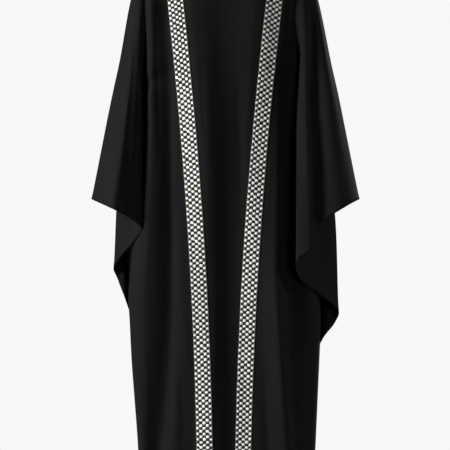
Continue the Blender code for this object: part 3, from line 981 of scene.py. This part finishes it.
def node(tree, kind, **values):
    """New shader node with its plain settings, its unlinked inputs and the sockets it is linked from."""
    item = tree.nodes.new(kind)
    for key, value in values.items():
        if hasattr(item, key):
            setattr(item, key, value)
        elif isinstance(value, bpy.types.NodeSocket):
            tree.links.new(value, item.inputs[key])
        else:
            item.inputs[key.replace("_", " ")].default_value = value
    return item


def shader_of(name, roughness, specular, sheen, sheen_roughness=0.5):
    """New material and its Principled node, with the finish that is the same all over."""
    material = bpy.data.materials.new(name)
    material.use_nodes = True
    tree = material.node_tree
    shader = tree.nodes["Principled BSDF"]
    shader.inputs["Roughness"].default_value = roughness
    shader.inputs["Specular IOR Level"].default_value = specular
    shader.inputs["Sheen Weight"].default_value = sheen
    shader.inputs["Sheen Roughness"].default_value = sheen_roughness
    return material, tree, shader


def ramp(tree, factor, stops):
    """Colour ramp on a factor."""
    item = node(tree, "ShaderNodeValToRGB", Fac=factor)
    item.color_ramp.elements[0].position = stops[0][0]
    item.color_ramp.elements[0].color = (*stops[0][1], 1.0)
    item.color_ramp.elements[1].position = stops[-1][0]
    item.color_ramp.elements[1].color = (*stops[-1][1], 1.0)
    for place, colour in stops[1:-1]:
        item.color_ramp.elements.new(place).color = (*colour, 1.0)
    return item.outputs["Color"]


def dress(tree, shader, colour, height, strength, distance):
    """Colour of a shader and a bump that follows a height."""
    tree.links.new(colour, shader.inputs["Base Color"])
    bump = node(tree, "ShaderNodeBump", Strength=strength, Distance=distance, Height=height)
    tree.links.new(bump.outputs["Normal"], shader.inputs["Normal"])


# Tones of the black cloths: place on the ramp and colour
CREPE_TONES = (
    (0.30, (0.0071, 0.0071, 0.0075)),
    (0.55, (0.0087, 0.0087, 0.0089)),
    (0.75, (0.0104, 0.0103, 0.0103)),
)
RIBBON_TONES = ((0.3, (0.007, 0.0067, 0.0064)), (0.7, (0.014, 0.0133, 0.012)))

# Threads: darkest and lightest colour, scale of the mottling and the finish
THREAD_SHEEN_ROUGHNESS = 0.4
Thread = namedtuple("Thread", "name dark light scale roughness specular sheen")
IVORY = Thread("ivory dots", (0.84, 0.83, 0.78), (0.95, 0.94, 0.90), 900.0, 0.45, 0.5, 0.1)
GREY = Thread("grey lattice thread", (0.15, 0.142, 0.127), (0.28, 0.267, 0.243), 700.0, 0.7, 0.3, 0.05)
BLACK = Thread("black sewing thread", (0.004,) * 3, (0.009,) * 3, 900.0, 0.6, 0.3, 0.05)


def crepe_material():
    """Matte black crepe: a pebbled weave, slow streaks down the cloth and a faint bloom."""
    material, tree, shader = shader_of("black crepe", roughness=0.85, specular=0.08, sheen=0.014)
    place = node(tree, "ShaderNodeUVMap", uv_map="cloth").outputs["UV"]
    slow = node(tree, "ShaderNodeMapping", Scale=(26.0, 2.2, 1.0), Vector=place).outputs["Vector"]
    streaks = node(tree, "ShaderNodeTexNoise", Scale=1.0, Detail=4.0, Roughness=0.6, Vector=slow)
    pebble = node(tree, "ShaderNodeTexNoise", Scale=820.0, Detail=3.0, Roughness=0.65, Vector=place)
    fine = node(tree, "ShaderNodeMapping", Scale=(1500.0, 260.0, 1.0), Vector=place).outputs["Vector"]
    warp = node(tree, "ShaderNodeTexNoise", Scale=1.0, Detail=2.0, Vector=fine)
    weave = node(tree, "ShaderNodeMath", operation="ADD")
    tree.links.new(pebble.outputs["Fac"], weave.inputs[0])
    tree.links.new(warp.outputs["Fac"], weave.inputs[1])
    colour = ramp(tree, streaks.outputs["Fac"], CREPE_TONES)
    dress(tree, shader, colour, weave.outputs["Value"], strength=0.35, distance=0.00025)
    return material


def ribbon_material():
    """Black ribbon ground: mottled thread and fine ribs across."""
    material, tree, shader = shader_of("black ribbon", roughness=0.7, specular=0.2, sheen=0.03)
    place = node(tree, "ShaderNodeUVMap", uv_map="cloth").outputs["UV"]
    mottle = node(tree, "ShaderNodeTexNoise", Scale=260.0, Detail=3.0, Vector=place)
    ribs = node(
        tree, "ShaderNodeTexWave", bands_direction="Y", Scale=340.0, Distortion=0.6, Detail=1.0, Vector=place
    )
    colour = ramp(tree, mottle.outputs["Fac"], RIBBON_TONES)
    dress(tree, shader, colour, ribs.outputs["Fac"], strength=0.5, distance=0.0002)
    return material


def thread_material(thread):
    """Spun thread: uneven colour and fine fibres, in the object's own coordinates."""
    finish = (thread.roughness, thread.specular, thread.sheen, THREAD_SHEEN_ROUGHNESS)
    material, tree, shader = shader_of(thread.name, *finish)
    place = node(tree, "ShaderNodeTexCoord").outputs["Object"]
    shade = node(tree, "ShaderNodeTexNoise", Scale=thread.scale, Detail=3.0, Vector=place)
    fibre = node(tree, "ShaderNodeTexNoise", Scale=3200.0, Detail=2.0, Vector=place)
    colour = ramp(tree, shade.outputs["Fac"], ((0.3, thread.dark), (0.7, thread.light)))
    dress(tree, shader, colour, fibre.outputs["Fac"], strength=0.4, distance=0.0002)
    return material


# Studio: key light from the left, weak fill, front and back lights from the right
Lamp = namedtuple("Lamp", "name place size power")
LAMPS = table(
    Lamp,
    ("key", (-3.5, -1.55, 0.6), 1.0, 230.0),
    ("fill", (3.8, -0.1, 0.3), 0.9, 36.0),
    ("front", (2.1, -4.6, 0.3), 1.6, 60.0),
    ("back", (2.0, 4.2, 0.9), 1.2, 90.0),
)
LIGHT_AIM = (0.0, 0.0, -0.7)

# White surroundings and a pale floor; each gives back less light than the camera sees in it
SURROUND = 0.935
SURROUND_LIGHT = 0.006
FLOOR_DROP = 1.47
FLOOR_HALF = 3.2
FLOOR_TONE = 0.72
FLOOR_BOUNCE = 0.12
FLOOR_ROUGHNESS = 0.9
FLOOR_FADE = (1.6, 3.1)

# Camera: level with the middle of the photo, far enough for its flat view
VIEW_HEIGHT = 1.125
VIEW_MIDDLE_DROP = 0.6925
CAMERA_DISTANCE = 9.0
CAMERA_REACH = 100.0
SENSOR = 36.0


def add_area(lamp):
    """Soft square light that points at the middle of the garment."""
    light = bpy.data.lights.new(lamp.name, "AREA")
    light.size = lamp.size
    light.energy = lamp.power
    item = add_object(lamp.name, light)
    item.location = lamp.place
    item.rotation_euler = (Vector(lamp.place) - Vector(LIGHT_AIM)).to_track_quat("Z", "Y").to_euler()


def mix_shaders(tree, factor, first, second):
    """Output of a mix of two shaders."""
    mix = tree.nodes.new("ShaderNodeMixShader")
    tree.links.new(factor, mix.inputs["Fac"])
    tree.links.new(first, mix.inputs[1])
    tree.links.new(second, mix.inputs[2])
    return mix.outputs["Shader"]


def make_world(scene):
    """White to the camera, with little light of its own."""
    world = bpy.data.worlds.new("studio")
    scene.world = world
    world.use_nodes = True
    tree = world.node_tree
    seen = tree.nodes["Background"]
    seen.inputs["Color"].default_value = (SURROUND, SURROUND, SURROUND, 1.0)
    seen.inputs["Strength"].default_value = 1.0
    lighting = node(tree, "ShaderNodeBackground", Color=(1.0, 1.0, 1.0, 1.0), Strength=SURROUND_LIGHT)
    camera_ray = node(tree, "ShaderNodeLightPath").outputs["Is Camera Ray"]
    surface = mix_shaders(tree, camera_ray, lighting.outputs["Background"], seen.outputs["Background"])
    tree.links.new(surface, tree.nodes["World Output"].inputs["Surface"])


def make_floor():
    """Pale floor that fades into the white surroundings with its distance from the middle."""
    signs = ((-1, -1), (1, -1), (1, 1), (-1, 1))
    corners = [(x * FLOOR_HALF, y * FLOOR_HALF, -FLOOR_DROP) for x, y in signs]
    floor = mesh_object("floor", corners, [(0, 1, 2, 3)])
    pale = bpy.data.materials.new("pale floor")
    pale.use_nodes = True
    tree = pale.node_tree
    shader = tree.nodes["Principled BSDF"]
    shader.inputs["Roughness"].default_value = FLOOR_ROUGHNESS
    camera_ray = node(tree, "ShaderNodeLightPath").outputs["Is Camera Ray"]
    tones = ((0.0, (FLOOR_BOUNCE,) * 3), (1.0, (FLOOR_TONE,) * 3))
    tree.links.new(ramp(tree, camera_ray, tones), shader.inputs["Base Color"])
    distance = node(tree, "ShaderNodeVectorMath", operation="LENGTH")
    tree.links.new(node(tree, "ShaderNodeTexCoord").outputs["Object"], distance.inputs[0])
    fade = node(tree, "ShaderNodeMapRange", From_Min=FLOOR_FADE[0], From_Max=FLOOR_FADE[1])
    fade.interpolation_type = "SMOOTHSTEP"
    tree.links.new(distance.outputs["Value"], fade.inputs["Value"])
    clear = node(tree, "ShaderNodeBsdfTransparent")
    surface = mix_shaders(tree, fade.outputs["Result"], shader.outputs["BSDF"], clear.outputs["BSDF"])
    tree.links.new(surface, tree.nodes["Material Output"].inputs["Surface"])
    floor.data.materials.append(pale)


def make_studio():
    """World, floor, lights and camera."""
    scene = bpy.context.scene
    scene.view_settings.view_transform = "Standard"
    make_world(scene)
    make_floor()
    for lamp in LAMPS:
        add_area(lamp)
    camera = bpy.data.cameras.new("camera")
    camera.sensor_width = SENSOR
    camera.lens = SENSOR * CAMERA_DISTANCE / VIEW_HEIGHT
    camera.clip_end = CAMERA_REACH
    item = add_object("camera", camera)
    item.location = (0.0, -CAMERA_DISTANCE, -VIEW_MIDDLE_DROP)
    item.rotation_euler = (math.pi / 2, 0.0, 0.0)
    scene.camera = item


def finish_piece(item, material, slot_name, *nodes):
    """Material, body and the solids that a piece stands for; the slot name is not used."""
    item.data.materials.append(material)
    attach(item, "root")
    if nodes:
        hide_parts(*nodes)


def make_garment():
    """Every piece of the abaya."""
    crepe = crepe_material()
    ribbon = ribbon_material()
    ivory, grey, black = (thread_material(thread) for thread in (IVORY, GREY, BLACK))

    front_rows = panel_rows(-1)
    back_rows = panel_rows(1)
    sleeves = {side: sleeve_rows(side, front_rows, back_rows) for side in ("left", "right")}
    front, front_rows, front_normals = body_shell("front_cloth", -1, front_rows)
    back, back_rows, back_normals = body_shell("back_cloth", 1, back_rows)
    finish_piece(front, crepe, "black_crepe", "front")
    finish_piece(back, crepe, "black_crepe", "back")

    sewing = ([], [])
    hem_lift = (CREPE + HEM_EXTRA) / 2 + STITCH_RADIUS / 2
    for rows, normals in ((front_rows, front_normals), (back_rows, back_normals)):
        across = range(len(rows[0]))
        hem = line_from_edge(rows, normals, HEM_WIDTH - STITCH_INSET, False, across)
        stitch_line(*sewing, *hem, hem_lift)
        neck = [i for i in across if abs(rows[0][i].x) < NECK_HALF - STITCH_INSET]
        stitch_line(*sewing, *line_from_edge(rows, normals, NECK_TURN - STITCH_INSET, True, neck), hem_lift)
    for side in ("left", "right"):
        cloth, rows, normals = sleeve_shell("sleeve_cloth_" + side, side, sleeves[side])
        finish_piece(cloth, crepe, "black_crepe", "sleeve_" + side)
        around = range(len(rows[0]))
        line = line_from_edge(rows, normals, CUFF_WIDTH - STITCH_INSET, False, around)
        stitch_line(*sewing, *line, hem_lift, closed=True)

        base, rows, normals = ribbon_shell(side, front_rows, front_normals)
        finish_piece(base, ribbon, "dotted_ribbon", "band_" + side)
        for column, near in ((0, 1), (BAND_COLUMNS, BAND_COLUMNS - 1)):
            points = [row[column].lerp(row[near], RIBBON_STITCH_INSET * BAND_COLUMNS) for row in rows]
            stitch_line(*sewing, points, [line[column] for line in normals], RIBBON / 2)
        dots, lattice = band_pieces(side)
        finish_piece(dots, ivory, "dotted_ribbon")
        finish_piece(lattice, grey, "dotted_ribbon")
    stitches = mesh_object("stitches", *sewing)
    finish_piece(stitches, black, "black_crepe")


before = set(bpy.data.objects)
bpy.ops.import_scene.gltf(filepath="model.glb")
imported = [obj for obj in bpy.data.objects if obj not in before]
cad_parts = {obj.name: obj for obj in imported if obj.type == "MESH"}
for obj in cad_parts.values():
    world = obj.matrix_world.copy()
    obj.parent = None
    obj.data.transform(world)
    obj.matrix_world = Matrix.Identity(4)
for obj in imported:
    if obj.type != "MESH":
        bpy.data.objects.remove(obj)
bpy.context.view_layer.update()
make_studio()
make_garment()
